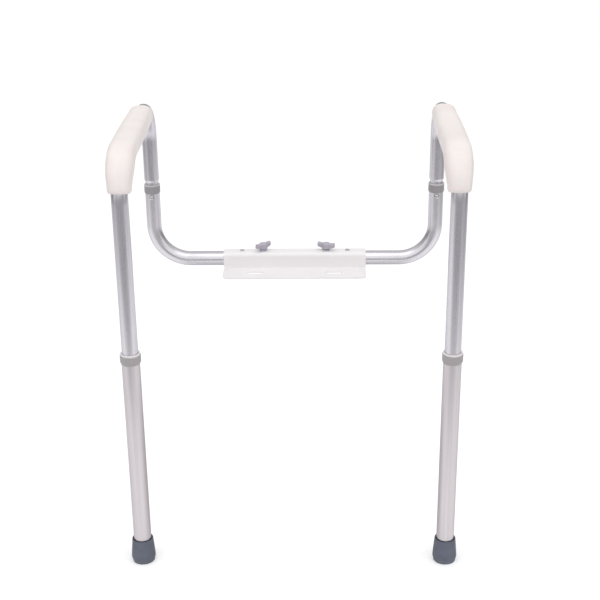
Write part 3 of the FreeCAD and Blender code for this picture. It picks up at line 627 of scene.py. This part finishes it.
def make_rest(side, sign):
    """Armrest: a tapered moulding swept over the arm's front bend and level run, hollow for the tube."""
    total, at = rest_line()
    stations = rest_stations(total)
    mesh = bmesh.new()
    rings = [add_ring(mesh, *at(distance), rest_section(distance, total)) for distance in stations]
    rings += mouth_rings(mesh, at, total, -1, rest_section(total, total))
    bore = [distance for distance in reversed(stations) if BORE_START < distance < total - BORE_START]
    for distance in bore[::BORE_STEP]:
        rings.append(add_ring(mesh, *at(distance), circle_section(rest_section(distance, total), BORE_R)))
    rings += reversed(mouth_rings(mesh, at, 0.0, 1, rest_section(0.0, total)))
    count = len(rings[0])
    for here, after in zip(rings, rings[1:] + rings[:1]):
        for index in range(count):
            following = (index + 1) % count
            mesh.faces.new((here[index], here[following], after[following], after[index]))
    bmesh.ops.translate(mesh, verts=mesh.verts, vec=Vector((sign * ARM_X, 0, 0)))
    bmesh.ops.recalc_face_normals(mesh, faces=mesh.faces)
    rest = add_mesh("armrest_moulding_" + side, mesh, REST_PLASTIC)
    for y in SCREW_YS:
        sink_hole(rest, Vector((sign * ARM_X, y, ARM_Z - REST_BELOW)))
    smooth_by_angle(rest, REST_CREASE)
    return rest


for side, sign in SIDES.items():
    rest = make_rest(side, sign)
    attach(rest, "side_" + side)
    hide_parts("armrest_" + side)


# ---------------------------------------------------------------- spring clips

CLIP_CUTS = 24
CLIP_CREASE = 30


def flexing_clip(end, side):
    """A U-shaped spring clip: the model's clip cut into level slices and shaded smooth, in its place.
    """
    node = "%s_clip_%s" % (end, side)
    low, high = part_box(node)
    mesh = bmesh.new()
    mesh.from_mesh(NODES[node].data)
    for index in range(1, CLIP_CUTS):
        height = low.z + (high.z - low.z) * index / CLIP_CUTS
        bmesh.ops.bisect_plane(
            mesh, geom=mesh.verts[:] + mesh.edges[:] + mesh.faces[:],
            plane_co=(0, 0, height), plane_no=(0, 0, 1),
        )
    clip = add_mesh("flexing_clip_%s_%s" % (end, side), mesh, SPRING_STEEL)
    smooth_by_angle(clip, CLIP_CREASE)
    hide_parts(node)
    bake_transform(clip)


for side in SIDES:
    flexing_clip("front", side)
    flexing_clip("rear", side)


# ---------------------------------------------------------------- floor, world and light

# White paper lies under and behind the frame. Its edges fade into a plain pale surround for the camera.
# The tubes reflect something else, and the floor bounces less light onto the frame: darker cards in place
# of the surround, and painted shade on the floor between the legs, which stands in for a shaded toilet
# there.
SURROUND = linear(208, 208, 210)
CARD = linear(163, 162, 165)
PAPER_GLOW = 0.14
FLOOR_HALF = 40.0  # metres

# Where the paper fades, in metres: towards the camera, to the back, and to the sides of a widening strip.
FADE_FRONT = (-0.72, -1.35)
FADE_BACK = (6.5, 14.0)
FADE_ASIDE = (1.05, 2.1)
STRIP_MIDDLE_X = -0.2
STRIP_WIDENS_FROM_Y = -0.5
STRIP_WIDENING = 0.3

# Painted shade between the legs, seen only in reflections and bounce light: how much it darkens, and where
# it fades.
LEGS_SHADE_SHARE = 0.5
LEGS_ASIDE = (0.20, 0.32)
LEGS_FRONT = (-0.42, -0.24)
LEGS_BACK = (0.30, 0.55)

# How bright the walls round the frame are in reflections: behind it, at its sides and near the floor.
WALL_BRIGHTNESS = 1.2
WALL_BEHIND = 0.68
WALL_ASIDE = 0.5
WALL_LOW = 0.5

# The directions over which those shares set in, as parts of a vector of length 1.
BEHIND_FADE = (-0.05, 0.3)
ASIDE_FADE = (0.5, 0.95)
LOW_FADE = (0.03, 0.2)


def paper_edges(finish):
    """0 on the paper, and 1 where it has faded out."""
    behind = finish.math("MAXIMUM", finish.math("SUBTRACT", finish.y, STRIP_WIDENS_FROM_Y), 0.0)
    from_middle = finish.math("ABSOLUTE", finish.math("SUBTRACT", finish.x, STRIP_MIDDLE_X))
    aside = finish.math("SUBTRACT", from_middle, finish.math("MULTIPLY", behind, STRIP_WIDENING))
    edges = finish.math("MAXIMUM", finish.span(aside, *FADE_ASIDE), finish.span(finish.y, *FADE_BACK))
    return finish.math("MAXIMUM", finish.span(finish.y, *FADE_FRONT), edges)


def painted_shade_between_legs(finish):
    """Above 0 on the floor between the legs, where painted shade darkens the floor for reflections and
    bounce light.
    """
    aside = finish.span(finish.math("ABSOLUTE", finish.x), *LEGS_ASIDE, LEGS_SHADE_SHARE, 0.0)
    front = finish.span(finish.y, *LEGS_FRONT)
    back = finish.span(finish.y, *LEGS_BACK, 1.0, 0.0)
    return finish.math("MULTIPLY", aside, finish.math("MULTIPLY", front, back))


def floor_paper():
    """Matt paper with a faint glow, the surround beyond it, and the cards and painted shade that show in
    reflections.
    """
    finish = Finish("floor_paper", Roughness=0.7, Specular_IOR_Level=0.2)
    seen = finish.seen_by_camera()
    off_paper = paper_edges(finish)
    cards_and_painted_shade = finish.math("MAXIMUM", off_paper, painted_shade_between_legs(finish))
    reflected = finish.math("MULTIPLY", cards_and_painted_shade, finish.math("SUBTRACT", 1.0, seen))
    paper = finish.blend(finish.noise(2.0), linear(247, 247, 248), linear(249, 249, 250))
    finish.colour(finish.blend(reflected, paper, CARD))
    finish.feed(finish.shader.inputs["Emission Color"], (1.0, 1.0, 1.0, 1.0))
    glow = finish.span(reflected, 0.0, 1.0, PAPER_GLOW, 0.0)
    finish.feed(finish.shader.inputs["Emission Strength"], glow)
    surround = finish.node("ShaderNodeEmission", (*SURROUND, 1.0)).outputs[0]
    shown = finish.node(
        "ShaderNodeMixShader", finish.math("MULTIPLY", off_paper, seen), finish.shader.outputs[0], surround
    )
    finish.feed(finish.tree.nodes["Material Output"].inputs["Surface"], shown.outputs[0])
    return finish.material


floor_mesh = bmesh.new()
bmesh.ops.create_grid(floor_mesh, x_segments=2, y_segments=2, size=FLOOR_HALF)
bmesh.ops.translate(floor_mesh, verts=floor_mesh.verts, vec=Vector((0, 0, CAD_FLOOR)))
floor = add_mesh("floor", floor_mesh, floor_paper())

world = bpy.data.worlds.new("studio")
bpy.context.scene.world = world
world.use_nodes = True
sky = Nodes(world.node_tree)
sky_x, sky_y, sky_z = sky.split(sky.node("ShaderNodeTexCoord").outputs["Generated"])
wall_behind = sky.span(sky_y, *BEHIND_FADE, 1.0, WALL_BEHIND)
wall_aside = sky.span(sky.math("ABSOLUTE", sky_x), *ASIDE_FADE, 1.0, WALL_ASIDE)
wall_low = sky.span(sky_z, *LOW_FADE, WALL_LOW, 1.0)
walls = sky.math("MULTIPLY", sky.math("MULTIPLY", wall_behind, wall_aside), wall_low)
walls = sky.math("MULTIPLY", walls, WALL_BRIGHTNESS)
grey = sky.node("ShaderNodeCombineColor", walls, walls, walls).outputs[0]
background = sky.tree.nodes["Background"].inputs
sky.feed(background["Color"], sky.blend(sky.seen_by_camera(), grey, SURROUND))
sky.feed(background["Strength"], 1.0)

# Soft lights that face the frame: name, place, width and height in metres, power in watts.
LIGHTS = (
    ("overhead", Vector((0.0, -0.8, 2.4)), 2.4, 2.0, 10.0),
    ("left_strip", Vector((-2.2, -1.3, 0.7)), 0.7, 1.8, 3.0),
    ("right_strip", Vector((2.3, -0.9, 0.8)), 0.7, 1.8, 4.0),
)
LIT_PLACE = Vector((0, -0.15, 0.0))

for name, place, width, height, power in LIGHTS:
    lamp = bpy.data.lights.new(name, "AREA")
    lamp.shape = "RECTANGLE"
    lamp.size = width
    lamp.size_y = height
    lamp.energy = power
    box = add_object(name, lamp)
    box.location = place
    box.rotation_mode = "QUATERNION"
    box.rotation_quaternion = (LIT_PLACE - place).to_track_quat("-Z", "Y")

bpy.context.scene.view_settings.view_transform = "Standard"
bpy.context.scene.view_settings.look = "None"
